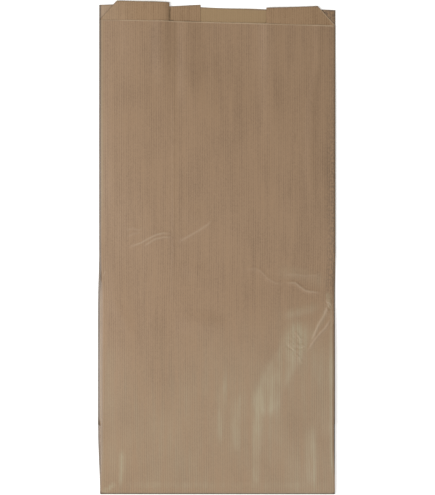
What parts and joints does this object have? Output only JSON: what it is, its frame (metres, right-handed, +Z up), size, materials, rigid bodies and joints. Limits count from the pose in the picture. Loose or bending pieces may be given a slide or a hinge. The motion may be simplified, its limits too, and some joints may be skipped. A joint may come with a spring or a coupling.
{
  "type": "paper lunch bag",
  "caption": "Brown paper lunch bag lying folded flat, with tucked side gussets, a stepped mouth, a glued lengthwise seam and a block bottom turned up behind.",
  "frame": {"origin": "middle of the folded bag's footprint, on the surface that it lies on", "axes": "+X across the bag, +Y along it towards the mouth, +Z up through its plies, with the front panel on top"},
  "size_m": [0.13, 0.2716, 0.0037],
  "materials": {
    "kraft_paper": "ribbed machine-glazed brown kraft, satin"
  },
  "bodies": {
    "root": {"paper_bag": "kraft_paper"}
  },
  "joints": []
}
